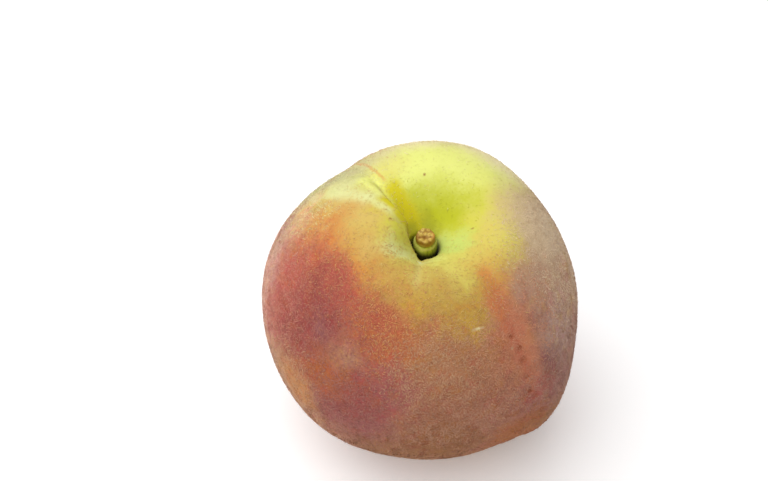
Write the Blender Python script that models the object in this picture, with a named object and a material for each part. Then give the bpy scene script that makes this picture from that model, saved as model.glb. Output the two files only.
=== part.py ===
# A ripe peach at rest, in metres, +Z up: the whole fruit as one solid, and the short stub of its stalk standing in
# the pit at the bottom of the cavity. The origin is the middle of the small flat spot that the peach rests on.
#
# The skin is a formula. A half circle is spun round the stalk's axis, and every point of it, known by its angle from
# the stalk (theta) and its angle round the stalk (alpha, from +X towards +Y), is moved to where the skin lies there.

import math

import bmesh
import bpy
from mathutils import Matrix, Vector

# Body
HALF_WIDTH = 0.0368  # middle to side, across the stalk's axis
HALF_HEIGHT = 0.0365  # middle to top or bottom, before the cavity is sunk
LEAN = math.radians(15.0)  # the stalk's axis leans forward, towards -Y

# Swellings that keep the body from being round: theta and alpha of the middle, rise, and width in degrees
SWELLINGS = (
    (58.0, 70.0, 0.00237, 24.0),  # back right shoulder
    (58.0, 107.0, 0.00081, 16.0),  # beside the groove
    (81.0, 166.0, 0.00088, 26.0),  # left flank
    (116.0, -131.0, 0.00064, 26.0),  # lower left
    (123.0, -100.0, -0.00125, 18.0),  # flatter lower front
    (121.0, -69.0, 0.00076, 16.0),  # beside the keel
)

# Keel: the broad low ridge down the right side that ends in a bump
KEEL_ALPHA = -44.0
KEEL_RISE = 0.00363
KEEL_FRONT_SPAN = 10.4  # degrees across its steeper flank
KEEL_BACK_SPAN = 19.5
KEEL_THETA = 106.5
KEEL_LENGTH = 43.0  # degrees along it
KEEL_FADE = (90.0, 150.0)  # degrees to either side between which the last of it fades

# Groove: the suture down the back left, a valley with a sharp bottom, deepest beside the cavity
GROOVE_ALPHA = 125.5
GROOVE_TURN = 30.0  # degrees by which it turns on its way into the pit
GROOVE_TURN_START = 5.0
GROOVE_TURN_SPAN = 8.0
GROOVE_DEPTH = 0.00106
GROOVE_DEPTH_BY_CAVITY = 0.0026
GROOVE_LEFT_SPAN = 16.4  # degrees across its two flanks
GROOVE_RIGHT_SPAN = 20.3
GROOVE_ROUNDING = 1.5
GROOVE_START = (4.0, 18.0)  # thetas between which it begins
GROOVE_SHALLOWER = (18.0, 50.0)  # where it loses its depth beside the cavity
GROOVE_END = (95.0, 150.0)

# Cavity: a funnel round the stalk, wide at the back and narrow in front. The left lobe fills it up to the pit
CAVITY_DEPTH = 0.01295
CAVITY_BACK_RADIUS = 0.0130
CAVITY_FRONT_RADIUS = 0.0085
CAVITY_BACK_ALPHA = 70.0
LEFT_LOBE_RADIUS = 0.0050
LEFT_LOBE_FILL = 0.0050
LEFT_LOBE_START = (-1.0, 6.0)  # degrees beyond the groove between which the lobe takes over from the funnel
LEFT_LOBE_END = (40.0, 115.0)

# Pit: the hole that the stalk stands in
PIT_RADIUS = 0.00325
PIT_DEPTH = 0.0035
PIT_LIP = 0.0004  # half the width over which the skin turns down into it
NOTCH_ALPHA = -103.0  # a small notch in the pit's front edge
NOTCH_RADIUS = 0.0006
NOTCH_SPAN = 12.0

# Stalk stub: wide at its foot in the pit, with a dimpled scar on top
STALK_GAP = 0.0003  # between its foot and the pit's floor
STALK_FOOT_RADIUS = 0.0026
STALK_NECK_RADIUS = 0.00225
STALK_SCAR_RADIUS = 0.00205
STALK_EDGE = 0.0004  # rounding of the foot's and the scar's edge
STALK_LENGTH = 0.0085
STALK_SWELL_HEIGHT = 0.0012
STALK_NECK_HEIGHT = 0.0038
SCAR_DIMPLE_RADIUS = 0.0010
SCAR_DIMPLE_DEPTH = 0.0004
STALK_SIDES = 20

# Rest
FLAT_RISE = 0.0009  # the skin is pressed flat up to this far above its lowest point
FLAT_BLEND = 0.0003  # height over which it bends from the flat spot into the curve
FLAT_TOLERANCE = 1e-7

# Mesh
MERGE_DISTANCE = 1e-6
SHARP_ANGLE = math.radians(50.0)
COLUMNS = 84
COLUMN_CROWDING = 30.0  # degrees by which columns shift towards the groove
COLUMN_FOLLOW_SPAN = 60.0  # degrees beside the groove within which columns turn with it
PIT_RINGS = (0.0015, 0.00265, 0.0030, 0.0034, 0.0038, 0.0045)
FIRST_STEP = 1.5  # degrees between rings beside the pit
STEP_GROWTH = 1.06
LAST_STEP = 4.4


def bell(x, span):
    return math.exp(-((x / span) ** 2))


def ramp(start, end, x):
    """0 before start, 1 after end and smooth between."""
    t = min(max((x - start) / (end - start), 0.0), 1.0)
    return t * t * (3.0 - 2.0 * t)


def mix(a, b, share):
    return a + (b - a) * share


def turn_from(alpha, middle):
    """Degrees from middle to alpha, between -180 and 180."""
    return (alpha - middle + 180.0) % 360.0 - 180.0


def direction(theta, alpha):
    theta, alpha = math.radians(theta), math.radians(alpha)
    return Vector((math.sin(theta) * math.cos(alpha), math.sin(theta) * math.sin(alpha), math.cos(theta)))


def swellings(theta, alpha):
    rise = 0.0
    for middle_theta, middle_alpha, height, span in SWELLINGS:
        apart = direction(theta, alpha).angle(direction(middle_theta, middle_alpha))
        rise += height * bell(math.degrees(apart), span)
    return rise


def keel(theta, alpha):
    turn = turn_from(alpha, KEEL_ALPHA)
    span = KEEL_FRONT_SPAN if turn < 0.0 else KEEL_BACK_SPAN
    ridge = bell(turn * math.sin(math.radians(theta)), span) * (1.0 - ramp(*KEEL_FADE, abs(turn)))
    return KEEL_RISE * ridge * bell(theta - KEEL_THETA, KEEL_LENGTH)


def groove_turn(theta):
    return GROOVE_TURN * math.exp(-max(theta - GROOVE_TURN_START, 0.0) / GROOVE_TURN_SPAN)


def from_groove(theta, alpha):
    """Degrees from the groove's bottom, positive on its left flank."""
    return turn_from(alpha, GROOVE_ALPHA + groove_turn(theta))


def groove(theta, alpha):
    across = from_groove(theta, alpha)
    span = GROOVE_LEFT_SPAN if across > 0.0 else GROOVE_RIGHT_SPAN
    valley = math.exp(-(math.hypot(across, GROOVE_ROUNDING) - GROOVE_ROUNDING) / span)
    depth = mix(GROOVE_DEPTH_BY_CAVITY, GROOVE_DEPTH, ramp(*GROOVE_SHALLOWER, theta))
    return depth * valley * ramp(*GROOVE_START, theta) * (1.0 - ramp(*GROOVE_END, theta))


def left_lobe(theta, alpha):
    """How far the left lobe takes over from the funnel, from 0 to 1."""
    across = from_groove(theta, alpha)
    return ramp(*LEFT_LOBE_START, across) * (1.0 - ramp(*LEFT_LOBE_END, across))


def cavity(theta, alpha, radius):
    towards_back = 0.5 + 0.5 * math.cos(math.radians(alpha - CAVITY_BACK_ALPHA))
    funnel = mix(CAVITY_FRONT_RADIUS, CAVITY_BACK_RADIUS, ramp(0.0, 1.0, towards_back))
    lobe = left_lobe(theta, alpha)
    width = mix(funnel, LEFT_LOBE_RADIUS, lobe)
    return (CAVITY_DEPTH - LEFT_LOBE_FILL * lobe) * bell(radius, width)


def pit_share(alpha, radius):
    """1 inside the pit, 0 outside it."""
    edge = PIT_RADIUS + NOTCH_RADIUS * bell(turn_from(alpha, NOTCH_ALPHA), NOTCH_SPAN)
    return 1.0 - ramp(edge - PIT_LIP, edge + PIT_LIP, radius)


def pit_floor():
    return HALF_HEIGHT - CAVITY_DEPTH - PIT_DEPTH


def skin_point(theta, alpha):
    """The skin at theta and alpha, in degrees, in the fruit's own frame with the stalk along +Z."""
    outward = swellings(theta, alpha) + keel(theta, alpha) - groove(theta, alpha)
    radius = (HALF_WIDTH + outward) * math.sin(math.radians(theta))
    height = (HALF_HEIGHT + outward) * math.cos(math.radians(theta))
    if theta < 90.0:
        height -= cavity(theta, alpha, radius)
        height = mix(height, pit_floor(), pit_share(alpha, radius))
    turn = math.radians(alpha)
    return Vector((radius * math.cos(turn), radius * math.sin(turn), height))


def ring_thetas():
    """The rings' angles from the stalk: close together in the pit, wider towards the bottom."""
    thetas = [math.degrees(math.asin(radius / HALF_WIDTH)) for radius in PIT_RINGS]
    step = FIRST_STEP
    while thetas[-1] + step < 180.0 - LAST_STEP / 2.0:
        thetas.append(thetas[-1] + step)
        step = min(step * STEP_GROWTH, LAST_STEP)
    return thetas


def column_alpha(theta, column):
    """Columns stand closer beside the groove and follow it into the pit; column 0 lies on its bottom."""
    across = column - COLUMN_CROWDING * math.sin(math.radians(column))
    return GROOVE_ALPHA + across + groove_turn(theta) * bell(across, COLUMN_FOLLOW_SPAN)


def spin_profile(mesh, points, sides):
    """Spin a profile in the XZ plane round Z into a closed skin."""
    profile = [mesh.verts.new(point) for point in points]
    edges = [mesh.edges.new(pair) for pair in zip(profile, profile[1:])]
    bmesh.ops.spin(
        mesh, geom=profile + edges, cent=(0, 0, 0), axis=(0, 0, 1), angle=math.tau, steps=sides, use_merge=True
    )
    bmesh.ops.remove_doubles(mesh, verts=mesh.verts, dist=MERGE_DISTANCE)
    bmesh.ops.recalc_face_normals(mesh, faces=mesh.faces)


def press_rest(mesh):
    """Press the skin flat where it rests, square to the world's vertical, and return the flat spot's middle."""
    down = Matrix.Rotation(-LEAN, 3, "X") @ Vector((0, 0, -1))
    surface = max(vert.co.dot(down) for vert in mesh.verts) - FLAT_RISE
    for vert in mesh.verts:
        above = surface - vert.co.dot(down)
        if above < FLAT_BLEND:
            pressed = max(above + FLAT_BLEND, 0.0) ** 2 / (4.0 * FLAT_BLEND)
            vert.co += down * (above - pressed)
    flat = [face for face in mesh.faces if all(surface - vert.co.dot(down) < FLAT_TOLERANCE for vert in face.verts)]
    area = sum(face.calc_area() for face in flat)
    return sum((face.calc_center_median() * face.calc_area() for face in flat), Vector()) / area


def make_material(name, colour, roughness):
    material = bpy.data.materials.new(name)
    material.use_nodes = True
    shader = material.node_tree.nodes["Principled BSDF"]
    shader.inputs["Base Color"].default_value = (*colour, 1.0)
    shader.inputs["Roughness"].default_value = roughness
    shader.inputs["Metallic"].default_value = 0.0
    return material


def make_object(name, mesh, material, parent):
    data = bpy.data.meshes.new(name)
    mesh.to_mesh(data)
    mesh.free()
    data.materials.append(material)
    data.shade_smooth()
    data.set_sharp_from_angle(angle=SHARP_ANGLE)
    piece = bpy.data.objects.new(name, data)
    piece.parent = parent
    bpy.context.scene.collection.objects.link(piece)
    return piece


def make_fruit(parent):
    mesh = bmesh.new()
    thetas = [0.0] + ring_thetas() + [180.0]
    spin_profile(mesh, [direction(theta, 0.0) for theta in thetas], COLUMNS)
    for vert in mesh.verts:
        theta = math.degrees(math.acos(max(-1.0, min(1.0, vert.co.z))))
        column = math.degrees(math.atan2(vert.co.y, vert.co.x))
        vert.co = skin_point(theta, column_alpha(theta, column))
    rest = press_rest(mesh)
    make_object("fruit", mesh, make_material("skin", (0.62, 0.30, 0.13), 0.75), parent)
    return rest


def stalk_profile():
    """From the foot's middle out, up the side and in over the scar to its dimple."""
    return (
        (0.0, 0.0),
        (STALK_FOOT_RADIUS - STALK_EDGE / 2.0, 0.0),
        (STALK_FOOT_RADIUS, STALK_EDGE),
        (STALK_FOOT_RADIUS, STALK_SWELL_HEIGHT),
        (mix(STALK_FOOT_RADIUS, STALK_NECK_RADIUS, 0.7), STALK_NECK_HEIGHT),
        (STALK_NECK_RADIUS, mix(STALK_NECK_HEIGHT, STALK_LENGTH, 0.5)),
        (STALK_NECK_RADIUS, STALK_LENGTH - 2.0 * STALK_EDGE),
        (STALK_SCAR_RADIUS, STALK_LENGTH - STALK_EDGE / 2.0),
        (STALK_SCAR_RADIUS - STALK_EDGE, STALK_LENGTH),
        (SCAR_DIMPLE_RADIUS, STALK_LENGTH - SCAR_DIMPLE_DEPTH / 3.0),
        (0.0, STALK_LENGTH - SCAR_DIMPLE_DEPTH),
    )


def make_stalk(parent):
    mesh = bmesh.new()
    spin_profile(mesh, [Vector((radius, 0, height)) for radius, height in stalk_profile()], STALK_SIDES)
    stalk = make_object("stem", mesh, make_material("stalk", (0.36, 0.30, 0.08), 0.7), parent)
    stalk.location = (0, 0, pit_floor() + STALK_GAP)


def main():
    for old in list(bpy.data.objects):
        bpy.data.objects.remove(old)
    peach = bpy.data.objects.new("peach", None)
    bpy.context.scene.collection.objects.link(peach)
    rest = make_fruit(peach)
    make_stalk(peach)
    tilt = Matrix.Rotation(LEAN, 4, "X")
    peach.matrix_world = Matrix.Translation(-(tilt @ rest)) @ tilt


main()
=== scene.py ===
import math

import bpy
import numpy as np
from mathutils import Euler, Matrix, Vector, noise


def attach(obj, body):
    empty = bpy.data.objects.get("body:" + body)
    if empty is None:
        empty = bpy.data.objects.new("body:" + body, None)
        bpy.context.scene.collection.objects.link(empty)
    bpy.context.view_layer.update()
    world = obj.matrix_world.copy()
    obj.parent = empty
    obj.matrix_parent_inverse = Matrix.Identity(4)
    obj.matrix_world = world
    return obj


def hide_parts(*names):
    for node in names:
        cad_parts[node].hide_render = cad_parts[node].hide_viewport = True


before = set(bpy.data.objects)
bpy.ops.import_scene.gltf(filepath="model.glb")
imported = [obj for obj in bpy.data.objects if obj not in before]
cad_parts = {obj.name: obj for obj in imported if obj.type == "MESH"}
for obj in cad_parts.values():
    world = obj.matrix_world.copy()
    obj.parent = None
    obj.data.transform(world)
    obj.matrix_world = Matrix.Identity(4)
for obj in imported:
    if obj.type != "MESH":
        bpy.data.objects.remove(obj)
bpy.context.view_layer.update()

MM = 0.001

# The fruit's own frame: its middle, and the lean of the stalk's axis towards -Y
BODY_MIDDLE = Vector((-0.0017694, -0.0007283, 0.0358286))
BODY_RADIUS = 36.8  # mm
LEAN = math.radians(15.0)
TURN = Euler((LEAN, 0, 0)).to_matrix()

# Camera: it looks past the fruit's middle, so that the fruit lies right of the picture's middle and low
CAMERA_ELEVATION = math.radians(42.0)
CAMERA_DISTANCE = 0.215  # to the fruit's middle, along the view
CAMERA_ACROSS = -0.008526  # sideways from there
CAMERA_UPWARDS = 0.014725  # and up in the picture
CAMERA_LENS = 42.19  # mm
CAMERA_NEAR = 0.01


def add_camera():
    up = Vector((0, math.sin(CAMERA_ELEVATION), math.cos(CAMERA_ELEVATION)))
    back = Vector((0, -math.cos(CAMERA_ELEVATION), math.sin(CAMERA_ELEVATION)))
    right = Vector((1, 0, 0))
    place = BODY_MIDDLE + back * CAMERA_DISTANCE + right * CAMERA_ACROSS + up * CAMERA_UPWARDS
    bpy.ops.object.camera_add(location=place, rotation=(math.pi / 2.0 - CAMERA_ELEVATION, 0, 0))
    camera = bpy.context.object
    camera.name = "camera"
    camera.data.lens = CAMERA_LENS
    camera.data.clip_start = CAMERA_NEAR
    bpy.context.scene.camera = camera


# Shader arithmetic


class Term:
    """A shader socket that adds Math nodes as it is reckoned with."""

    def __init__(self, finish, socket):
        self.finish = finish
        self.socket = socket

    def maths(self, operation, *values):
        return self.finish.node("ShaderNodeMath", {"operation": operation}, dict(enumerate(values)))

    def __add__(self, other):
        return self.maths("ADD", self, other)

    def __sub__(self, other):
        return self.maths("SUBTRACT", self, other)

    def __rsub__(self, other):
        return self.maths("SUBTRACT", other, self)

    def __mul__(self, other):
        return self.maths("MULTIPLY", self, other)

    __radd__ = __add__
    __rmul__ = __mul__


class Finish:
    """A material whose nodes are added by expressions."""

    def __init__(self, name):
        self.material = bpy.data.materials.new(name)
        self.material.use_nodes = True
        self.tree = self.material.node_tree
        self.shader = self.tree.nodes["Principled BSDF"]

    def link(self, value, socket):
        if isinstance(value, Term):
            self.tree.links.new(value.socket, socket)
        else:
            socket.default_value = value

    def node(self, kind, settings=None, values=None, output=0):
        """A node of any kind: its settings first, then its sockets' values or links."""
        node = self.tree.nodes.new(kind)
        for name, value in (settings or {}).items():
            setattr(node, name, value)
        for key, value in (values or {}).items():
            self.link(value, node.inputs[key])
        return Term(self, node.outputs[output])

    def set(self, **values):
        """Values or links for the shader's own sockets, with _ for a space."""
        for name, value in values.items():
            self.link(value, self.shader.inputs[name.replace("_", " ")])

    def coordinates(self, place, turn, size):
        """Object coordinates as seen from place, turned by turn, with size as their unit."""
        raw = self.node("ShaderNodeTexCoord", output="Object")
        values = {"Vector": raw, "Location": place, "Rotation": turn, "Scale": (size, size, size)}
        return self.node("ShaderNodeMapping", {"vector_type": "TEXTURE"}, values)

    def vector(self, operation, *values):
        output = 1 if operation in ("DISTANCE", "LENGTH") else 0
        return self.node("ShaderNodeVectorMath", {"operation": operation}, dict(enumerate(values)), output)

    def scale(self, vector, size):
        return self.node("ShaderNodeVectorMath", {"operation": "SCALE"}, {"Vector": vector, "Scale": size})

    def part(self, vector, axis):
        return self.node("ShaderNodeSeparateXYZ", values={"Vector": vector}, output=axis)

    def grow(self, start, end, value, low=0.0, high=1.0):
        """From low at start to high at end, smoothly."""
        values = {"Value": value, "From Min": start, "From Max": end, "To Min": low, "To Max": high}
        return self.node("ShaderNodeMapRange", {"interpolation_type": "SMOOTHSTEP"}, values)

    def blend(self, share, under, over, how="MIX"):
        """One colour over another. Socket 0 takes the share, and 6 and 7 are the two colours."""
        values = {0: share, 6: under, 7: over}
        return self.node("ShaderNodeMix", {"data_type": "RGBA", "blend_type": how}, values, 2)

    def grain(self, coordinates, scale, detail=2.0, output="Fac"):
        values = {"Vector": coordinates, "Scale": scale, "Detail": detail}
        return self.node("ShaderNodeTexNoise", values=values, output=output)


def colour(red, green, blue):
    """A colour given as seen on a screen, from 0 to 255, as the light that it stands for."""

    def light(channel):
        channel /= 255.0
        return channel / 12.92 if channel <= 0.04045 else ((channel + 0.055) / 1.055) ** 2.4

    return (light(red), light(green), light(blue), 1.0)


# Shape helpers
MERGE_WITHIN = 1e-6
QUAD_ANGLE = math.radians(60)  # the most that two triangles may bend and skew where they become one quad


def bell(value, width):
    return np.exp(-((value / width) ** 2))


def ramp(value, start, end):
    share = np.clip((value - start) / (end - start), 0.0, 1.0)
    return share * share * (3.0 - 2.0 * share)


def rumple(places, waves, smoothness):
    """Fractal noise at each place, with so many waves in each unit."""
    return np.array([noise.fractal(Vector(place) * waves, smoothness, 2.0, 3) for place in places])


def direction(theta, alpha):
    """The way to a place on the fruit: theta degrees from the stalk's axis, alpha round it from +X."""
    theta = math.radians(theta)
    alpha = math.radians(alpha)
    return Vector((math.sin(theta) * math.cos(alpha), math.sin(theta) * math.sin(alpha), math.cos(theta)))


def select_only(piece):
    bpy.ops.object.select_all(action="DESELECT")
    piece.select_set(True)
    bpy.context.view_layer.objects.active = piece


def copy_solid(node, name):
    """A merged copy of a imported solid, in quads where it can be."""
    select_only(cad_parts[node])
    bpy.ops.object.duplicate()
    piece = bpy.context.object
    piece.name = piece.data.name = name
    piece.parent = None
    for key in list(piece.keys()):
        del piece[key]
    bpy.ops.mesh.customdata_custom_splitnormals_clear()
    bpy.ops.object.mode_set(mode="EDIT")
    bpy.ops.mesh.select_all(action="SELECT")
    bpy.ops.mesh.remove_doubles(threshold=MERGE_WITHIN)
    bpy.ops.mesh.tris_convert_to_quads(face_threshold=QUAD_ANGLE, shape_threshold=QUAD_ANGLE)
    bpy.ops.object.mode_set(mode="OBJECT")
    bpy.ops.object.shade_smooth()
    return piece


def apply_modifier(piece, kind, **settings):
    select_only(piece)
    modifier = piece.modifiers.new(kind.lower(), kind)
    for name, value in settings.items():
        setattr(modifier, name, value)
    bpy.ops.object.modifier_apply(modifier=modifier.name)


def read(mesh, what):
    """The places or the normals of a mesh's points, a row for each."""
    values = np.empty(len(mesh.vertices) * 3)
    mesh.vertices.foreach_get(what, values)
    return values.reshape(-1, 3)


def write(mesh, places):
    mesh.vertices.foreach_set("co", places.ravel())
    mesh.update()


def mark(mesh, name, values):
    """Keeps a number for each point, which a material or a modifier can read."""
    mesh.attributes.new(name, "FLOAT", "POINT").data.foreach_set("value", values)


def on_fruit(places):
    """Places in the fruit's own frame in millimetres, with theta and alpha in degrees."""
    own = (places - np.array(BODY_MIDDLE)) @ np.array(TURN) / MM
    reach = np.linalg.norm(own, axis=1)
    theta = np.degrees(np.arccos(np.clip(own[:, 2] / reach, -1, 1)))
    alpha = np.degrees(np.arctan2(own[:, 1], own[:, 0]))
    return own, reach, theta, alpha


def dress(piece, finish, slot, *nodes):
    """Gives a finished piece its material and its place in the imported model."""
    piece.data.materials.clear()
    piece.data.materials.append(finish)
    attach(piece, "root")
    if nodes:
        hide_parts(*nodes)


# Skin: the fruit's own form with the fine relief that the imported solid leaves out. Depths and widths are in
# millimetres. Each feature comes in between the first pair of thetas and fades out between the second pair
LINE_START = -44.0  # alpha of the thin line on the keel near the cavity
LINE_END = -51.0  # and low on the side
LINE_BEND = (18.0, 75.0)  # the thetas between which it goes from one to the other
LINE_DEPTH = 0.42
LINE_WIDTH = 1.7
LINE_EXTENT = (14, 40, 110, 165)
CREASE_ALPHA = -98.0  # the crease in front of the pit
CREASE_DEPTH = 0.35
CREASE_WIDTH = 1.1
CREASE_EXTENT = (9, 12, 15, 27)
BLOSSOM_DEPTH = 1.1
BLOSSOM_WIDTH = 2.6
UNDULATION = 0.10
UNDULATION_WAVES = 0.16  # waves in each millimetre
UNDULATION_START = (12, 30)
REST_BORDER = 0.8  # height over which the relief comes in above the rest spot
FOLD_ALPHA = 130.0
FOLD_WIDTH = 4.0
FOLD_EXTENT = (9, 14, 60, 80)
FOLD_ROUNDS = 70
FOLD_LEAST = 0.02  # smaller shares of smoothing are left out
# Small healed pits: theta and alpha, and depth and radius in millimetres
PITS = (
    (48.6, -51.0, 0.40, 0.6),
    (54.0, -49.8, 0.30, 0.7),
    (58.5, -50.3, 0.50, 0.7),
    (65.3, -51.2, 0.40, 0.6),
    (72.1, -51.6, 0.50, 0.8),
    (75.6, -50.1, 0.45, 0.7),
    (84.5, -47.5, 0.45, 0.8),
)


def extent(theta, come, full, fade, gone):
    return ramp(theta, come, full) * (1 - ramp(theta, fade, gone))


def line_alpha(theta):
    return LINE_START + (LINE_END - LINE_START) * ramp(theta, *LINE_BEND)


def carve_skin(skin):
    """Moves the skin's points in or out along their normals."""
    places = read(skin.data, "co")
    normals = read(skin.data, "normal")
    own, reach, theta, alpha = on_fruit(places)
    way = own / reach[:, None]
    around = np.radians(1.0) * reach * np.sin(np.radians(theta))  # mm for each degree of alpha

    across = (alpha - line_alpha(theta)) * around
    rise = -LINE_DEPTH * extent(theta, *LINE_EXTENT) * bell(across, LINE_WIDTH)
    across = (alpha - CREASE_ALPHA) * around
    rise -= CREASE_DEPTH * extent(theta, *CREASE_EXTENT) * bell(across, CREASE_WIDTH)
    pitted = np.zeros(len(own))
    for pit_theta, pit_alpha, depth, radius in PITS:
        away = BODY_RADIUS * np.linalg.norm(way - np.array(direction(pit_theta, pit_alpha)), axis=1)
        rise -= depth * bell(away, radius)
        pitted += bell(away, radius)
    mark(skin.data, "pitted", np.clip(pitted, 0, 1))
    away = BODY_RADIUS * np.linalg.norm(way - np.array((0, 0, -1)), axis=1)
    rise -= BLOSSOM_DEPTH * bell(away, BLOSSOM_WIDTH)

    rise += UNDULATION * rumple(own, UNDULATION_WAVES, smoothness=0.6) * ramp(theta, *UNDULATION_START)
    above_floor = places[:, 2] / MM
    rise *= ramp(above_floor, 0.0, REST_BORDER)  # the rest spot stays flat
    write(skin.data, places + normals * (rise * MM)[:, None])


def soften_fold(skin):
    """Rounds the fold between the left lobe and the crown."""
    _, reach, theta, alpha = on_fruit(read(skin.data, "co"))
    across = (alpha - FOLD_ALPHA) * np.radians(1.0) * reach * np.sin(np.radians(theta))
    share = bell(across, FOLD_WIDTH) * extent(theta, *FOLD_EXTENT)
    group = skin.vertex_groups.new(name="fold")
    for point in np.flatnonzero(share > FOLD_LEAST):
        group.add([int(point)], float(share[point]), "REPLACE")
    apply_modifier(skin, "SMOOTH", factor=0.5, iterations=FOLD_ROUNDS, vertex_group="fold")
    skin.vertex_groups.clear()


def make_skin():
    skin = copy_solid("fruit", "peach_skin")
    apply_modifier(skin, "SUBSURF", levels=2, render_levels=2)
    soften_fold(skin)
    carve_skin(skin)
    return skin


# Skin colours, each a paint named as on a palette, with red, green and blue from 0 to 255
BUTTER = (219, 223, 120)
PEAR = (203, 197, 66)
LIME = (184, 187, 22)
OLIVE_PAINTED_SHADE = (158, 156, 28)
MUSTARD = (200, 188, 0)
CELERY = (192, 207, 104)
CREAM = (216, 218, 150)
PRIMROSE_PAINTED_LIGHT = (205, 200, 110)
LEMON_PAINTED_LIGHT = (236, 240, 132)
BARLEY = (203, 173, 98)
FROST = (222, 224, 196)
SAND = (231, 219, 168)
STONE = (204, 190, 142)
MOSS = (188, 186, 136)
BISQUE = (214, 174, 128)
STRAW = (203, 178, 92)
WHEAT = (192, 174, 84)
HONEY = (207, 199, 92)
GOLD = (205, 165, 74)
OCHRE = (190, 152, 64)
BRASS = (176, 146, 70)
AMBER = (200, 132, 64)
SCARLET = (186, 92, 70)
SIENNA = (182, 104, 64)
RUST = (170, 92, 48)
ROSE = (205, 154, 139)
BRICK = (180, 92, 78)
CRIMSON = (148, 68, 62)
PLUM = (150, 83, 78)
DUSK = (142, 92, 90)
DAMSON = (140, 92, 86)
LILAC = (194, 162, 148)
PEARL = (214, 194, 168)
HEATHER = (172, 132, 118)
CLAY = (164, 104, 80)
TAN = (176, 121, 82)
FAWN = (186, 147, 122)
SHELL = (205, 180, 144)
MAUVE = (157, 108, 96)
CORAL = (194, 120, 87)
APRICOT = (207, 136, 76)
FLAME = (204, 112, 62)
UMBER = (143, 88, 42)
COPPER = (156, 84, 26)

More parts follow.
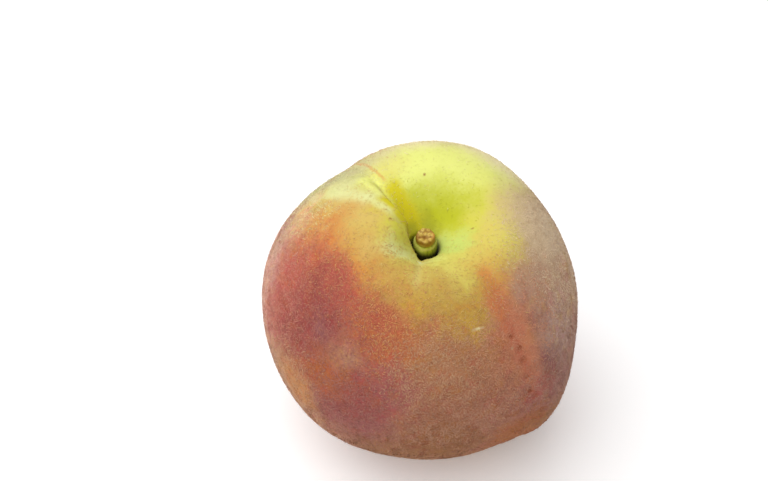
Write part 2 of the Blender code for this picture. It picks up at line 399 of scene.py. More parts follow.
# Where each paint lies, as soft round daubs over each other: theta and alpha of the middle, the radius of
# full strength and the radius where it ends, both in millimetres of skin, and the strength
GROUND = CLAY
DAUBS = (
    # The far side and the underside, which the photograph doesn't show, in the same colours
    (BRICK, 95, 95, 10, 38, 0.9),
    (AMBER, 80, 60, 2, 24, 0.7),
    (CRIMSON, 85, 130, 4, 24, 0.7),
    (TAN, 120, 160, 4, 28, 0.7),
    (BRICK, 125, 20, 4, 28, 0.6),
    (GOLD, 150, -60, 4, 26, 0.6),
    (STRAW, 165, 110, 2, 20, 0.7),
    # The crown and the cavity's back wall
    (BUTTER, 32, 78, 14, 30, 1.0),
    (SAND, 58, 92, 4, 15, 0.95),
    (SAND, 56, 56, 4, 15, 0.95),
    (BUTTER, 28, 40, 6, 14, 0.8),
    (STRAW, 40, 16, 3, 13, 0.6),
    (HONEY, 24, 12, 4, 12, 0.9),
    (LIME, 15, 72, 1, 10, 1.0),
    (LIME, 17, 42, 0, 8, 0.9),
    (LIME, 21, 45, 0, 7, 0.5),
    (HONEY, 30, 13, 1, 7, 0.6),
    (PEAR, 22, 12, 1, 6, 0.5),
    (PEAR, 31, 14, 1, 6, 0.4),
    (LIME, 19, 99, 1, 5, 0.6),
    (BARLEY, 34, 115, 1, 7, 0.35),
    (STRAW, 33, 15, 2, 8, 0.6),
    (PEAR, 32, 44, 1, 7, 0.25),
    (LIME, 20, 44, 1, 5, 0.4),
    (PEAR, 21, 14, 1, 6, 0.4),
    (STONE, 49, 112, 2, 10, 0.8),
    # The left flank, from the pale band down to the limb. The pale band is partly the skin's paler colour and
    # partly a painted highlight along the crest of the left lobe
    (STONE, 50, 78, 2, 9, 0.5),
    (MOSS, 52, 138, 4, 13, 0.9),
    (STRAW, 42, 156, 2, 10, 0.9),
    (BRICK, 58, -166, 5, 20, 1.0),
    (ROSE, 68, 174, 5, 14, 1.0),
    (ROSE, 80, -170, 4, 13, 1.0),
    (AMBER, 38, 174, 2, 11, 0.9),
    (BISQUE, 52, 165, 2, 9, 0.9),
    (FAWN, 65, 168, 3, 10, 0.8),
    (HEATHER, 64, 165, 2, 8, 0.6),
    (BARLEY, 30, 165, 3, 9, 0.9),
    (STRAW, 41, 161, 1, 6, 0.6),
    (STRAW, 28, 164, 1, 6, 0.5),
    (SAND, 48, 151, 1, 5, 0.5),
    (BISQUE, 38, -173, 1, 7, 0.4),
    (AMBER, 29, -163, 5, 14, 1.0),
    (STRAW, 18, -170, 3, 10, 1.0),
    (GOLD, 23, -137, 2, 11, 0.9),
    (TAN, 88, -144, 3, 14, 0.8),
    (FAWN, 88, -152, 1, 10, 0.8),
    # The red cheek
    (SIENNA, 33, -132, 3, 12, 0.9),
    (SCARLET, 40, -158, 2, 11, 0.9),
    (BRICK, 50, -168, 2, 11, 0.7),
    (BRICK, 72, -164, 2, 9, 0.7),
    (CRIMSON, 46, -144, 4, 14, 1.0),
    (SIENNA, 36, -122, 2, 10, 0.6),
    (CRIMSON, 62, -148, 3, 12, 0.8),
    (CRIMSON, 39, -146, 2, 9, 0.5),
    (AMBER, 82, -140, 2, 10, 0.7),
    # The front
    (TAN, 36, -90, 4, 15, 0.9),
    (TAN, 52, -76, 6, 20, 0.8),
    (SIENNA, 42, -113, 3, 12, 0.9),
    (CLAY, 70, -90, 5, 17, 0.8),
    (CLAY, 68, -60, 4, 14, 0.8),
    (UMBER, 88, -82, 3, 14, 0.9),
    (UMBER, 98, -104, 4, 15, 0.8),
    (COPPER, 99, -52, 5, 13, 1.0),
    (UMBER, 93, -44, 3, 8, 1.0),
    (SCARLET, 61, -108, 1, 10, 0.6),
    (PLUM, 72, -116, 4, 13, 1.0),
    (BRICK, 60, -107, 2, 11, 0.6),
    (CRIMSON, 65, -118, 3, 12, 0.5),
    (CRIMSON, 76, -122, 2, 9, 0.5),
    (CRIMSON, 42, -124, 2, 11, 0.4),
    (UMBER, 78, -85, 3, 12, 0.4),
    (RUST, 65, -129, 2, 9, 1.0),
    (DUSK, 52, -140, 0, 5, 0.7),
    (TAN, 54, -126, 0, 7, 0.8),
    (FAWN, 52, -124, 1, 6, 0.4),
    (DUSK, 59, -102, 2, 8, 0.45),
    (TAN, 38, -71, 2, 7, 0.5),
    # The right flank: grey-beige, partly the fuzz's own pale colour and partly painted sheen of the fuzz seen
    # at a grazing angle
    (SHELL, 52, 6, 7, 21, 1.0),
    (PEARL, 58, 7, 3, 13, 0.6),
    (FAWN, 62, -18, 6, 18, 0.9),
    (FAWN, 74, -26, 2, 12, 0.6),
    (GOLD, 27, -24, 2, 11, 0.9),
    (FAWN, 40, -26, 2, 9, 0.6),
    (MAUVE, 73, -38, 3, 11, 0.9),
    (FAWN, 55, -36, 2, 8, 0.6),
    (LILAC, 62, -29, 2, 10, 0.8),
    (DAMSON, 66, -41, 1, 7, 0.8),
    (FAWN, 44, -28, 1, 9, 0.5),
    (MAUVE, 53, -36, 1, 5, 0.5),
    (PLUM, 75, -48, 3, 10, 0.4),
    # The warm streak down the keel
    (GOLD, 27, -44, 1, 8, 0.8),
    (APRICOT, 34, -47, 1, 7, 0.9),
    (CORAL, 45, -48, 1, 7, 0.9),
    (CORAL, 56, -49, 0, 7, 0.9),
    (CLAY, 70, -50, 0, 7, 0.8),
    (BRICK, 72, -48, 1, 6, 0.5),
    (FAWN, 40, -58, 1, 6, 0.4),
    (GOLD, 29, -49, 1, 4, 0.5),
    # The lip of the cavity and the pit's rims
    (OCHRE, 31, -64, 3, 10, 0.9),
    (OCHRE, 28, -96, 1, 7, 0.6),
    (WHEAT, 21, -86, 2, 8, 1.0),
    (HONEY, 23, -62, 1, 6, 0.7),
    (HONEY, 14, -76, 1, 6, 1.0),
    (HONEY, 14, -40, 2, 8, 1.0),
    (HONEY, 14, -120, 2, 7, 1.0),
    # Painted light: butter, lighter than the skin, on the left lobe's inner lip by the pit, against the shade
    # there
    (BUTTER, 13, -140, 1, 5, 1.0),
    (GOLD, 24, -130, 2, 7, 0.7),
    (AMBER, 27, -142, 1, 6, 0.8),
    (SCARLET, 36, -143, 2, 7, 0.8),
    (CRIMSON, 38, -144, 1, 6, 0.4),
    (CRIMSON, 38, -147, 2, 8, 0.3),
    (BRASS, 24, -94, 3, 9, 0.6),
    (BRASS, 25, -118, 1, 6, 0.5),
    (OCHRE, 20, -158, 2, 8, 0.5),
    (HONEY, 28, -12, 1, 8, 0.7),
    (PEAR, 31, 121, 1, 5, 0.3),
    (CREAM, 12.8, -94, 0.5, 3, 0.5),
    (CREAM, 38, 141, 1, 6, 0.7),
    (OCHRE, 25, -96, 2, 9, 0.8),
    (WHEAT, 20, -94, 1, 5, 0.7),
    (AMBER, 26, -172, 1, 6, 0.35),
    (BARLEY, 17, -151, 1, 6, 0.6),
    # Painted light: cream, lighter than the skin, on the left lobe's inner lip by the pit, against the shade
    # there
    (CREAM, 12.3, -140, 1, 4.5, 0.9),
    (BUTTER, 10, -60, 1, 5, 0.8),
    # Painted shade: darker olive round the pit's rim, where the cavity is deepest
    (OLIVE_PAINTED_SHADE, 8, 165, 0, 4, 0.6),
    (OLIVE_PAINTED_SHADE, 12, 92, 0, 5, 0.8),
    (OLIVE_PAINTED_SHADE, 10, 125, 0, 4, 0.5),
    (CELERY, 13, -4, 2, 7, 0.9),
    (PEAR, 9, -175, 1, 7, 1.0),
    (MUSTARD, 15, 132, 3, 8, 1.0),
    # Painted shade at the pit's back rim
    (OLIVE_PAINTED_SHADE, 10, 62, 0, 4, 0.7),
)
# Strokes along the skin: the thetas of both ends, their alphas, half the width of full strength and of the
# whole in millimetres, and the strength
STROKES = (
    (MUSTARD, (10, 27), (122, 121), 2.0, 4.8, 0.95),
    # Painted shade: a darker olive stroke low in the fold, near the pit
    (OLIVE_PAINTED_SHADE, (6, 12), (126, 119), 1.0, 3.2, 0.7),
    # Painted light: a primrose stroke over the left lobe's edge near the pit, lighter than the skin, against
    # the shade at that edge
    (PRIMROSE_PAINTED_LIGHT, (10, 22), (170, 143), 0.5, 2.2, 0.6),
    (MUSTARD, (8, 16), (160, 143), 0.7, 2.0, 0.9),
    # Painted light: a primrose stroke on the steep wall under the lobe's edge lightens its shade
    (PRIMROSE_PAINTED_LIGHT, (22, 30), (139, 137), 1.0, 2.6, 0.8),
    # Painted light: a pale lemon stroke along the fold between the left lobe and the crown lightens the shade
    # in the fold
    (LEMON_PAINTED_LIGHT, (22, 34), (132.5, 128.5), 1.2, 3.2, 0.6),
    # Partly painted highlight: cream strokes along the crest of the left lobe make the pale band
    (CREAM, (23, 42), (150, 148), 0.2, 3.6, 0.8),
    (CREAM, (14, 23), (160, 150), 0.1, 1.8, 0.6),
    (APRICOT, (33, 50), (119.5, 121.5), 0.1, 0.6, 0.5),
    (CORAL, (34, 66), (-48, -49), 1.2, 4.6, 0.6),
    (FLAME, (27, 40), (-43, -49), 0.3, 2.4, 0.5),
    (SCARLET, (44, 64), (-49.5, -51), 0.2, 1.8, 0.35),
    (FLAME, (31, 45), (-51, -52), 0.2, 1.5, 0.4),
    (CREAM, (13, 23), (-98, -98), 0.1, 1.4, 0.15),
)
STROKE_FADE = 4  # degrees of theta past each end
STROKE_WAVER = 0.25  # share of the colours' wavering that the strokes take
# Small marks whose edges don't waver: theta and alpha, inner and outer radius, and strength
SPECKS = (
    (UMBER, 27.4, 88.5, 0.1, 0.5, 0.8),
    (UMBER, 11.8, 175.9, 0.1, 0.5, 0.7),
    (UMBER, 20.1, 10.5, 0.1, 0.45, 0.6),
    (SHELL, 40.5, -67.3, 0.0, 0.5, 0.5),
    (SHELL, 40.5, -66.2, 0.1, 0.45, 0.7),
    (SAND, 40.6, -65.1, 0.1, 0.45, 0.7),
    (SAND, 40.7, -64.0, 0.1, 0.45, 0.8),
    (SHELL, 40.8, -62.9, 0.1, 0.4, 0.7),
    (SHELL, 40.9, -61.9, 0.1, 0.35, 0.6),
    (SHELL, 52.2, -53.0, 0.1, 0.5, 0.7),
    (FROST, 12.6, -99.0, 0.1, 0.7, 0.7),
    (FROST, 11.9, -104.0, 0.1, 0.5, 0.5),
)
# The colours' edges waver by three noises: waves in each millimetre and reach in millimetres
WAVERS = ((0.11, 7.0), (0.45, 3.0), (1.7, 2.2))
# Blotches outside the crown: what multiplies the colour below, waves in each millimetre, where they start and
# end in the noise, and strength
DEEPER = (0.66, 0.50, 0.48, 1.0)
GOLDER = (1.10, 1.10, 0.62, 1.0)
ROSIER = (1.04, 0.78, 0.92, 1.0)
PALER = (1.16, 1.20, 1.24, 1.0)
BLOTCHES = (
    (GOLDER, 0.31, 0.50, 0.68, 0.6),
    (ROSIER, 0.37, 0.50, 0.66, 0.7),
    (GOLDER, 1.3, 0.50, 0.68, 0.4),
    (DEEPER, 0.24, 0.45, 0.75, 0.25),
    (DEEPER, 0.9, 0.48, 0.75, 0.25),
    (DEEPER, 2.0, 0.46, 0.66, 0.45),
    (PALER, 2.7, 0.50, 0.68, 0.4),
)
CROWN_MIDDLE = (20, 60)  # theta and alpha
CROWN_CLEAR = (22, 34)  # mm from there, between which the blotches come in
FLECKS_CLEAR = (17, 24)  # the same for the flecks
FLECK_SCALE = 1.15  # flecks for each millimetre
FLECK_SIZE = (0.30, 0.12)  # where a fleck ends and where it is full, as shares of their spacing
FLECK_GROUPS = 0.6  # waves in each millimetre of the noise that gathers them in groups
FLECK_GROUPED = (0.45, 0.6)  # where the groups start and are full in that noise
FLECK_STRENGTH = 0.45
HEALED = (142, 68, 30)  # orange-brown of the small healed pits
HEALED_STRENGTH = 0.9
# Painted shade in the hole that the stalk stands in, which paints its walls near black. Each pair says where
# the shade starts and where it is full, in millimetres: going down from its top, going in towards the stalk's
# axis, and going up from the fruit's middle
HOLE_SHADE = (40, 34, 20)
HOLE_TOP = (25.8, 24.6)
HOLE_EDGE = (3.7, 3.1)
HOLE_FLOOR = (0, 5)
SHEEN_TINT = (1.0, 0.82, 0.66, 1.0)


def lay(finish, way, shade, tint, theta, alpha, inner, outer, strength):
    """Lays a soft round daub of paint over the colour so far."""
    away = finish.vector("DISTANCE", way, direction(theta, alpha) * BODY_RADIUS)
    return finish.blend(finish.grow(outer, inner, away, 0.0, strength), shade, colour(*tint))


def skin_finish():
    finish = Finish("peach skin")
    own = finish.coordinates(BODY_MIDDLE, (LEAN, 0, 0), MM)
    round_way = finish.scale(finish.vector("NORMALIZE", own), BODY_RADIUS)
    way = round_way
    for waves, reach in WAVERS:
        stir = finish.vector("SUBTRACT", finish.grain(own, waves, output="Color"), (0.5, 0.5, 0.5))
        way = finish.vector("ADD", way, finish.scale(stir, reach))

    shade = colour(*GROUND)
    for daub in DAUBS:
        shade = lay(finish, way, shade, *daub)

    # Blotches and small rusty flecks lie everywhere but on the crown
    away = finish.vector("DISTANCE", way, direction(*CROWN_MIDDLE) * BODY_RADIUS)
    blushed = finish.grow(*CROWN_CLEAR, away)
    for tint, waves, start, end, strength in BLOTCHES:
        tinted = finish.blend(1.0, shade, tint, "MULTIPLY")
        share = finish.grow(start, end, finish.grain(own, waves, detail=3.0), 0.0, strength)
        shade = finish.blend(share * blushed, shade, tinted)
    values = {"Vector": own, "Scale": FLECK_SCALE}
    cells = finish.node("ShaderNodeTexVoronoi", values=values, output="Distance")
    grouped = finish.grow(*FLECK_GROUPED, finish.grain(own, FLECK_GROUPS))
    flecks = finish.grow(*FLECK_SIZE, cells) * grouped * finish.grow(*FLECKS_CLEAR, away)
    shade = finish.blend(flecks * FLECK_STRENGTH, shade, colour(*RUST))

    calm_way = finish.scale(round_way, 1 - STROKE_WAVER)
    calm_way = finish.vector("ADD", calm_way, finish.scale(way, STROKE_WAVER))
    across_x = finish.part(calm_way, 0)
    across_y = finish.part(calm_way, 1)
    off_axis = finish.vector("LENGTH", finish.vector("MULTIPLY", calm_way, (1, 1, 0)))
    theta_here = off_axis.maths("ARCTAN2", off_axis, finish.part(calm_way, 2)) * math.degrees(1)
    alpha_here = across_y.maths("ARCTAN2", across_y, across_x) * math.degrees(1)
    for tint, (start, end), (alpha_start, alpha_end), inner, outer, strength in STROKES:
        values = {"Value": theta_here, "From Min": start, "From Max": end}
        values.update({"To Min": alpha_start, "To Max": alpha_end})
        line = finish.node("ShaderNodeMapRange", values=values)
        away = (alpha_here - line) * off_axis * math.radians(1)
        share = finish.grow(outer, inner, away.maths("ABSOLUTE", away), 0.0, strength)
        share = share * finish.grow(start - STROKE_FADE, start, theta_here)
        share = share * finish.grow(end + STROKE_FADE, end, theta_here)
        shade = finish.blend(share, shade, colour(*tint))

    for speck in SPECKS:
        shade = lay(finish, round_way, shade, *speck)

    pitted = finish.node("ShaderNodeAttribute", {"attribute_name": "pitted"}, output="Fac")
    shade = finish.blend(pitted * HEALED_STRENGTH, shade, colour(*HEALED))

    # Painted shade: the hole that the stalk stands in is painted near black
    height = finish.part(own, 2)
    from_axis = finish.vector("LENGTH", finish.vector("MULTIPLY", own, (1, 1, 0)))
    hole_shade = finish.grow(*HOLE_TOP, height) * finish.grow(*HOLE_EDGE, from_axis)
    hole_shade = hole_shade * finish.grow(*HOLE_FLOOR, height)
    shade = finish.blend(hole_shade, shade, colour(*HOLE_SHADE))

    finish.set(Base_Color=shade, Roughness=0.75, Specular_IOR_Level=0.3)
    finish.set(Sheen_Weight=0.10, Sheen_Roughness=0.45, Sheen_Tint=SHEEN_TINT)
    return finish.material


# Stub of the stalk
STALK_FOOT = Vector((-0.001469, -0.005995, 0.055585))
STALK_SIDES = 44
# Height above its foot and radius of each ring in millimetres, from the foot to the scar's middle
STALK_RINGS = (
    (0.0, 2.60),
    (0.6, 2.66),
    (1.6, 2.70),
    (2.8, 2.74),
    (4.0, 2.76),
    (5.2, 2.70),
    (6.0, 2.56),
    (6.5, 2.40),
    (6.75, 2.20),
    (6.95, 2.12),
    (7.15, 2.16),
    (7.35, 2.18),
    (7.55, 2.08),
    (7.85, 2.04),
    (8.15, 2.00),
    (8.40, 1.90),
    (8.50, 1.74),
    (8.46, 1.60),
    (8.42, 1.42),
    (8.42, 1.24),
    (8.42, 1.06),
    (8.42, 0.88),
    (8.42, 0.70),
    (8.42, 0.52),
    (8.42, 0.34),
    (8.42, 0.16),
)
SCAR_RELIEF = (7.5, 8.2)  # heights between which the scar's own relief comes in
# The scar's knobs: angle round it, and distance from its middle, half width and rise in millimetres
KNOBS = (
    (112, 1.46, 0.40, 0.34),
    (66, 1.50, 0.38, 0.30),
    (4, 1.52, 0.44, 0.20),
    (-43, 1.50, 0.44, 0.30),
    (-88, 1.48, 0.42, 0.34),
    (-128, 1.46, 0.44, 0.26),
    (157, 1.52, 0.34, 0.18),
    (170, 1.00, 0.46, 0.30),
    (84, 0.42, 0.44, 0.30),
    (14, 0.86, 0.46, 0.28),
)
# Small holes in the scar: angle, distance, half width and depth in the same way
EYES = (
    (112, 1.46, 0.16, 0.30),
    (66, 1.50, 0.14, 0.24),
    (-108, 0.55, 0.26, 0.30),
    (-160, 1.35, 0.14, 0.14),
    (-20, 1.15, 0.14, 0.14),
)
HOLLOWS = (-0.02, 0.20)  # rises between which the scar's relief goes from hollow to proud
SCAR_ROUGHNESS = 0.07
ROUGHNESS_WAVES = 1.3  # waves in each millimetre
# Shares of the radius: how far the stub's outline sways, how rough its side and its scar's rim are, and its
# ribs' depth
SWAY = 0.035
SIDE_ROUGHNESS = 0.015
RIM_ROUGHNESS = 0.03
RIB_DEPTH = 0.010
RIBS = 7
SWAY_WAVES = 1.5
SWAY_SEED = 3.7


def make_stalk():
    bpy.ops.object.select_all(action="DESELECT")
    bpy.ops.mesh.primitive_circle_add(vertices=STALK_SIDES, radius=STALK_RINGS[0][1] * MM, fill_type="NGON")
    stalk = bpy.context.object
    stalk.name = stalk.data.name = "stalk_stub"
    bpy.ops.object.mode_set(mode="EDIT")
    bpy.ops.mesh.select_all(action="SELECT")
    for (height, radius), (next_height, next_radius) in zip(STALK_RINGS, STALK_RINGS[1:]):
        lift = (0, 0, (next_height - height) * MM)
        bpy.ops.mesh.extrude_region_move(TRANSFORM_OT_translate={"value": lift})
        share = next_radius / radius
        bpy.ops.transform.resize(value=(share, share, 1), center_override=(0, 0, 0))
    bpy.ops.mesh.select_all(action="SELECT")
    bpy.ops.mesh.normals_make_consistent(inside=False)
    bpy.ops.object.mode_set(mode="OBJECT")
    apply_modifier(stalk, "SUBSURF", levels=1, render_levels=1)
    carve_stalk(stalk)
    bpy.ops.object.shade_smooth()
    stalk.rotation_euler = (LEAN, 0, 0)
    stalk.location = STALK_FOOT
    bpy.ops.object.transform_apply(location=True, rotation=True, scale=True)
    return stalk


def carve_stalk(stalk):
    """The dry scar's knobs and holes, its uneven rim, and low ribs down the side."""
    own = read(stalk.data, "co") / MM
    angle = np.arctan2(own[:, 1], own[:, 0])
    rough = rumple(own, ROUGHNESS_WAVES, smoothness=0.7)
    on_scar = ramp(own[:, 2], *SCAR_RELIEF)
    round_it = [Vector((math.cos(turn), math.sin(turn), SWAY_SEED)) * SWAY_WAVES for turn in angle]
    sway = np.array([noise.noise(place) for place in round_it])

    def lump(turn, ring, width, rise):
        middle = ring * np.array((math.cos(math.radians(turn)), math.sin(math.radians(turn))))
        return rise * bell(np.linalg.norm(own[:, :2] - middle, axis=1), width)

    rise = np.max([lump(*knob) for knob in KNOBS], axis=0) - sum(lump(*eye) for eye in EYES)
    rise += SCAR_ROUGHNESS * rough
    mark(stalk.data, "hollow", on_scar * (1 - ramp(rise, *HOLLOWS)))
    own[:, 2] += on_scar * rise
    out = 1.0 + SWAY * sway + (SIDE_ROUGHNESS + RIM_ROUGHNESS * on_scar) * rough
    out += RIB_DEPTH * (1 - on_scar) * np.cos(RIBS * angle + sway)
    own[:, 0] *= out
    own[:, 1] *= out
    write(stalk.data, own * MM)


# The stub's colours. Pairs say where each one starts and where it is full: those named SHARE in a noise, and
# the others in millimetres above the stub's foot or across it towards +X. Its left side is painted lighter as
# a painted highlight, its right side darker as painted shade, and low down it is painted near black as
# painted shade
FIBRES = (134, 142, 24)
FIBRES_LIGHT = (182, 192, 52)
FIBRES_SHARE = (0.35, 0.65)
FIBRE_WAVES = 2.2  # waves in each millimetre
FIBRE_STRETCH = (1, 1, 0.22)  # they run up the stub
PATCH_WAVES = 0.9
PATCH = (110, 88, 30)
PATCH_SHARE = (0.55, 0.75)
PATCH_STRENGTH = 0.4
# Painted highlight down the stub's left side and painted shade down its right
LIT_SIDE = (226, 240, 110)
LIT_ACROSS = (0.6, -1.6)
SHADED_SIDE = (84, 88, 16)
SHADED_ACROSS = (0.8, 2.4)
SHADED_STRENGTH = 0.6
# Painted shade: near black low on the stub, where it stands deep in the hole, reaching higher on its left
FOOT_SHADE = (54, 52, 12)
FOOT_SHADE_HEIGHTS = (6.3, 4.0)
FOOT_SHADE_SLANT = 0.25
COLLAR = (206, 196, 112)
COLLAR_FROM = (5.9, 6.3)
COLLAR_TO = (6.9, 6.5)
COLLAR_STRENGTH = 0.55
SCAR = (212, 184, 94)
SCAR_DARK = (178, 142, 46)
SCAR_SHARE = (0.35, 0.7)
SCAR_FROM = (7.35, 7.75)
SCAR_WAVER = 0.8
HOLLOW = (136, 88, 12)
HOLLOW_STRENGTH = 0.85
TOASTED = (190, 122, 36)
TOASTED_ACROSS = (0.9, 2.0)
TOASTED_STRENGTH = 0.6
CRUST = (150, 108, 18)
CRUST_FROM = (6.8, 7.2)
CRUST_TO = (8.4, 7.9)
CRUST_STRENGTH = 0.75


def stalk_finish():
    finish = Finish("stalk")
    own = finish.coordinates(STALK_FOOT, (LEAN, 0, 0), MM)
    across = finish.part(own, 0)
    height = finish.part(own, 2)
    fibres = finish.grain(finish.vector("MULTIPLY", own, FIBRE_STRETCH), FIBRE_WAVES, detail=3.0)
    patches = finish.grain(own, PATCH_WAVES, detail=3.0)

    side = finish.blend(finish.grow(*FIBRES_SHARE, fibres), colour(*FIBRES), colour(*FIBRES_LIGHT))
    # Painted highlight on the left and painted shade on the right
    side = finish.blend(finish.grow(*LIT_ACROSS, across), side, colour(*LIT_SIDE))
    side = finish.blend(finish.grow(*SHADED_ACROSS, across) * SHADED_STRENGTH, side, colour(*SHADED_SIDE))
    side = finish.blend(finish.grow(*PATCH_SHARE, patches) * PATCH_STRENGTH, side, colour(*PATCH))
    # Painted shade at the stub's foot
    side = finish.blend(finish.grow(*FOOT_SHADE_HEIGHTS, height + across * FOOT_SHADE_SLANT), side, colour(*FOOT_SHADE))
    collar = finish.grow(*COLLAR_FROM, height) * finish.grow(*COLLAR_TO, height)
    side = finish.blend(collar * COLLAR_STRENGTH, side, colour(*COLLAR))

    hollow = finish.node("ShaderNodeAttribute", {"attribute_name": "hollow"}, output="Fac")
    scar = finish.blend(finish.grow(*SCAR_SHARE, patches), colour(*SCAR), colour(*SCAR_DARK))
    scar = finish.blend(hollow * HOLLOW_STRENGTH, scar, colour(*HOLLOW))
    scar = finish.blend(finish.grow(*TOASTED_ACROSS, across) * TOASTED_STRENGTH, scar, colour(*TOASTED))

    on_scar = finish.grow(*SCAR_FROM, height + (patches - 0.5) * SCAR_WAVER)
    shade = finish.blend(on_scar, side, scar)
    crust = finish.grow(*CRUST_FROM, height) * finish.grow(*CRUST_TO, height)
    shade = finish.blend(crust * CRUST_STRENGTH, shade, colour(*CRUST))
    finish.set(Base_Color=shade, Roughness=0.65, Specular_IOR_Level=0.4)
    return finish.material


# Fuzz: short hairs matted into flat wisps that lie every way over the skin. Lengths and widths in millimetres
WISP_LENGTH = 0.72
WISP_WIDTH = 0.08
WISP_WIDEST = 0.35  # share of its length from the root
WISP_ROOT = 0.08  # how deep its root sits in the skin
WISP_SIZES = (0.5, 1.3)  # the smallest and the largest, as shares of these sizes
WISP_LIFT = (0.1, 0.5)  # how steeply it stands off the skin, the least and the most
WISP_TWIST = 0.5  # how far its flat side turns away from lying on the skin
SWIRLS = 420.0  # waves in each metre of the noise that says which way the wisps lie
SWIRL_SPREAD = 0.7  # how far each one strays from that
FUZZ_SEED = 7  # of the first field
SEEDS_APART = 10  # from each field to the next
FUZZ_PER_MM2 = 15.0
# Each field of fuzz has its middle (theta and alpha), how thick it stands, the paint of the skin below it,
# and how much paler the fuzz is
FUZZ_FIELDS = {
    "fuzz_crown": (34, 76, 0.16, BUTTER, 0.30),
    "fuzz_cavity": (17, 62, 0.06, LIME, 0.20),
    "fuzz_rim": (54, 78, 0.5, SAND, 0.35),
    "fuzz_back": (78, 70, 0.7, TAN, 0.34),
    "fuzz_band": (48, 146, 0.5, CREAM, 0.25),
    "fuzz_lobe": (18, 180, 0.25, STRAW, 0.25),
    "fuzz_gold": (22, -146, 0.5, GOLD, 0.22),
    "fuzz_blush": (36, -148, 0.9, SIENNA, 0.28),
    "fuzz_saddle": (32, -108, 0.7, AMBER, 0.24),
    "fuzz_left": (60, -166, 1.1, BRICK, 0.34),
    "fuzz_left_limb": (74, 178, 1.0, ROSE, 0.34),
    "fuzz_cheek": (46, -138, 1.1, CRIMSON, 0.30),
    "fuzz_low_left": (84, -146, 1.0, TAN, 0.36),
    "fuzz_plum": (70, -116, 1.1, PLUM, 0.26),
    "fuzz_lip": (14, -70, 0.2, HONEY, 0.20),
    "fuzz_shoulder": (28, -76, 0.6, OCHRE, 0.28),
    "fuzz_front": (50, -84, 1.2, TAN, 0.40),
    "fuzz_low_front": (76, -82, 1.2, CLAY, 0.38),
    "fuzz_bottom": (98, -84, 1.0, UMBER, 0.22),
    "fuzz_keel_foot": (98, -52, 0.5, COPPER, 0.20),
    "fuzz_keel": (50, -48, 1.0, CORAL, 0.28),
    "fuzz_right": (54, -2, 1.2, SHELL, 0.40),
    "fuzz_right_low": (88, 15, 0.9, CLAY, 0.26),
    "fuzz_low_right": (73, -32, 1.2, MAUVE, 0.28),
    "fuzz_far": (105, 95, 0.8, BRICK, 0.22),
    "fuzz_behind": (76, 128, 0.8, BRICK, 0.26),
    "fuzz_far_left": (102, 170, 0.9, CLAY, 0.24),
    "fuzz_under": (140, -50, 0.7, TAN, 0.20),
}
PALE = (240, 216, 184)  # what the fuzz's paint is mixed with
FIELD_BORDER = 5.0  # mm over which one field gives way to the next
FUZZ_FLOOR = (0.9, 1.4)  # mm above the surface that the fruit rests on, between which the fuzz comes in
PIT_EDGE = (3.0, 3.6)  # mm from the stalk's axis, between which it comes in round the pit
PIT_ONLY = (90, 100)  # thetas beyond which that axis no longer clears it
THIN_WAVES = 0.9  # waves in each millimetre of the noise that thins it
THINNED = (0.8, 0.5)  # its mean thickness and the noise's share in it
HEALED_BARE = 0.8  # share of it that is missing in the small healed pits


def make_wisp():
    bpy.ops.object.select_all(action="DESELECT")
    bpy.ops.mesh.primitive_circle_add(vertices=4, radius=0.5, fill_type="NGON", rotation=(math.pi / 2, 0, 0))
    wisp = bpy.context.object
    wisp.name = "wisp"
    wisp.dimensions = (WISP_WIDTH * MM, WISP_LENGTH * MM, 0)
    wisp.location = (0, 0, (WISP_LENGTH / 2 - WISP_ROOT) * MM)
    bpy.ops.object.transform_apply(location=True, rotation=True, scale=True)
    bpy.ops.object.mode_set(mode="EDIT")
    bpy.ops.mesh.select_all(action="DESELECT")
    bpy.ops.object.mode_set(mode="OBJECT")
    # The two points at its sides go to its widest place
    for point in wisp.data.vertices:
        point.select = abs(point.co.x) > WISP_WIDTH / 4 * MM
    bpy.ops.object.mode_set(mode="EDIT")
    bpy.ops.transform.translate(value=(0, 0, (WISP_WIDEST - 0.5) * WISP_LENGTH * MM))
    bpy.ops.object.mode_set(mode="OBJECT")
    return wisp


def mark_fields(skin):
    """How thick each field's fuzz stands at each point of the skin, from 0 to 1."""
    places = read(skin.data, "co")
    own, reach, theta, _ = on_fruit(places)
    way = own / reach[:, None]
    grown = ramp(places[:, 2] / MM, *FUZZ_FLOOR)
    off_axis = np.hypot(own[:, 0], own[:, 1])
    grown *= 1 - (1 - ramp(off_axis, *PIT_EDGE)) * (1 - ramp(theta, *PIT_ONLY))
    patchy = np.array([noise.noise(Vector(point) * THIN_WAVES) for point in own])
    grown *= THINNED[0] + THINNED[1] * patchy
    pitted = np.empty(len(own))
    skin.data.attributes["pitted"].data.foreach_get("value", pitted)
    grown *= 1 - HEALED_BARE * pitted
    middles = [np.array(direction(*field[:2])) for field in FUZZ_FIELDS.values()]
    away = np.array([BODY_RADIUS * np.linalg.norm(way - middle, axis=1) for middle in middles])
    near = np.exp(-(away - away.min(axis=0)) / FIELD_BORDER * 2)
    near /= near.sum(axis=0)
    for name, share in zip(FUZZ_FIELDS, near):
        mark(skin.data, name, grown * share * FUZZ_FIELDS[name][2])


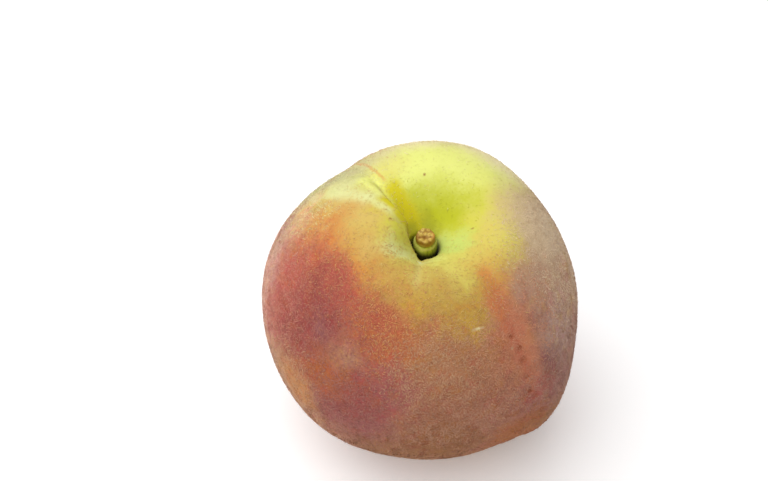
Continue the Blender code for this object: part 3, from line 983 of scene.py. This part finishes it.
def fuzz_nodes(wisp, field, seed):
    """Wisps spread over a surface, each lying its own way along it."""
    tree = bpy.data.node_groups.new(field, "GeometryNodeTree")
    tree.interface.new_socket("Geometry", in_out="INPUT", socket_type="NodeSocketGeometry")
    tree.interface.new_socket("Geometry", in_out="OUTPUT", socket_type="NodeSocketGeometry")

    def add(kind, settings=None, values=None, output=0):
        node = tree.nodes.new(kind)
        for name, value in (settings or {}).items():
            setattr(node, name, value)
        for key, value in (values or {}).items():
            if isinstance(value, bpy.types.NodeSocket):
                tree.links.new(value, node.inputs[key])
            else:
                node.inputs[key].default_value = value
        return node.outputs[output]

    def vector(operation, *values):
        return add("ShaderNodeVectorMath", {"operation": operation}, dict(enumerate(values)))

    def scaled(value, size):
        return add("ShaderNodeVectorMath", {"operation": "SCALE"}, {"Vector": value, "Scale": size})

    def drawn(low, high, step):
        values = {"Min": low, "Max": high, "Seed": seed + step}
        return add("FunctionNodeRandomValue", {"data_type": "FLOAT"}, values, 1)

    def strayed(value, reach, step):
        values = {"Min": (-reach, -reach, -reach), "Max": (reach, reach, reach), "Seed": seed + step}
        return vector("ADD", value, add("FunctionNodeRandomValue", {"data_type": "FLOAT_VECTOR"}, values))

    source = add("NodeGroupInput")
    thick = add("GeometryNodeInputNamedAttribute", {"data_type": "FLOAT"}, {"Name": field})
    density = add("ShaderNodeMath", {"operation": "MULTIPLY"}, {0: thick, 1: FUZZ_PER_MM2 / MM**2})
    spread = {"Mesh": source, "Density": density, "Seed": seed}
    points = add("GeometryNodeDistributePointsOnFaces", values=spread)
    outward = points.node.outputs["Normal"]
    values = {"Vector": add("GeometryNodeInputPosition"), "Scale": SWIRLS, "Detail": 2.0}
    swirl = add("ShaderNodeTexNoise", values=values, output="Color")
    swirl = vector("NORMALIZE", vector("SUBTRACT", swirl, (0.5, 0.5, 0.5)))
    swirl = strayed(swirl, SWIRL_SPREAD, 1)
    along = vector("NORMALIZE", vector("CROSS_PRODUCT", outward, swirl))
    way = vector("ADD", along, scaled(outward, drawn(*WISP_LIFT, 2)))
    turn = add("FunctionNodeAlignRotationToVector", {"axis": "Z"}, {"Vector": way})
    values = {"Rotation": turn, "Vector": strayed(outward, WISP_TWIST, 4)}
    turn = add("FunctionNodeAlignRotationToVector", {"axis": "Y", "pivot_axis": "Z"}, values)
    shape = add("GeometryNodeObjectInfo", {"transform_space": "ORIGINAL"}, {"Object": wisp}, "Geometry")
    values = {"Points": points, "Instance": shape, "Rotation": turn, "Scale": drawn(*WISP_SIZES, 3)}
    wisps = add("GeometryNodeInstanceOnPoints", values=values)
    wisps = add("GeometryNodeRealizeInstances", values={0: wisps})
    tree.links.new(wisps, tree.nodes.new("NodeGroupOutput").inputs[0])
    return tree


def make_fuzz(skin, wisp, field, seed):
    select_only(skin)
    bpy.ops.object.duplicate()
    fuzz = bpy.context.object
    fuzz.name = fuzz.data.name = field
    modifier = fuzz.modifiers.new("wisps", "NODES")
    modifier.node_group = fuzz_nodes(wisp, field, seed)
    bpy.ops.object.modifier_apply(modifier=modifier.name)
    bpy.ops.object.shade_smooth()
    return fuzz


def fuzz_finish(field, paint, paler):
    finish = Finish(field)
    tint = [own + (pale - own) * paler for own, pale in zip(paint, PALE)]
    finish.set(Base_Color=colour(*tint), Roughness=0.7, Specular_IOR_Level=0.2)
    return finish.material


# Studio: a sheet of white paper that glows a little, even light from all sides, and one broad soft light
PAPER = (245, 245, 245)
PAPER_SIZE = 4.0
PAPER_GLOW = 0.22
SKY_STRENGTH = 0.34
LIGHT_PLACE = Vector((-0.22, -0.04, 0.64))
LIGHT_SIZE = 0.9
LIGHT_POWER = 6.1


def add_studio():
    bpy.ops.mesh.primitive_plane_add(size=PAPER_SIZE)
    floor = bpy.context.object
    floor.name = "floor"
    finish = Finish("floor paper")
    white = colour(*PAPER)
    finish.set(Base_Color=white, Roughness=0.9, Emission_Color=white, Emission_Strength=PAPER_GLOW)
    floor.data.materials.append(finish.material)
    world = bpy.data.worlds.new("studio")
    bpy.context.scene.world = world
    world.use_nodes = True
    sky = world.node_tree.nodes["Background"]
    sky.inputs["Color"].default_value = (1.0, 1.0, 1.0, 1.0)
    sky.inputs["Strength"].default_value = SKY_STRENGTH
    turn = (-LIGHT_PLACE).to_track_quat("-Z", "Y").to_euler()
    bpy.ops.object.light_add(type="AREA", location=LIGHT_PLACE, rotation=turn)
    light = bpy.context.object
    light.name = "sky_light"
    light.data.size = LIGHT_SIZE
    light.data.energy = LIGHT_POWER
    bpy.context.scene.view_settings.view_transform = "Standard"


add_camera()
skin = make_skin()
stalk = make_stalk()
wisp = make_wisp()
mark_fields(skin)
for number, (field, (*_, paint, paler)) in enumerate(FUZZ_FIELDS.items()):
    fuzz = make_fuzz(skin, wisp, field, SEEDS_APART * number + FUZZ_SEED)
    dress(fuzz, fuzz_finish(field, paint, paler), "skin")
bpy.data.objects.remove(wisp)
dress(skin, skin_finish(), "skin", "fruit")
dress(stalk, stalk_finish(), "stalk", "stem")
add_studio()
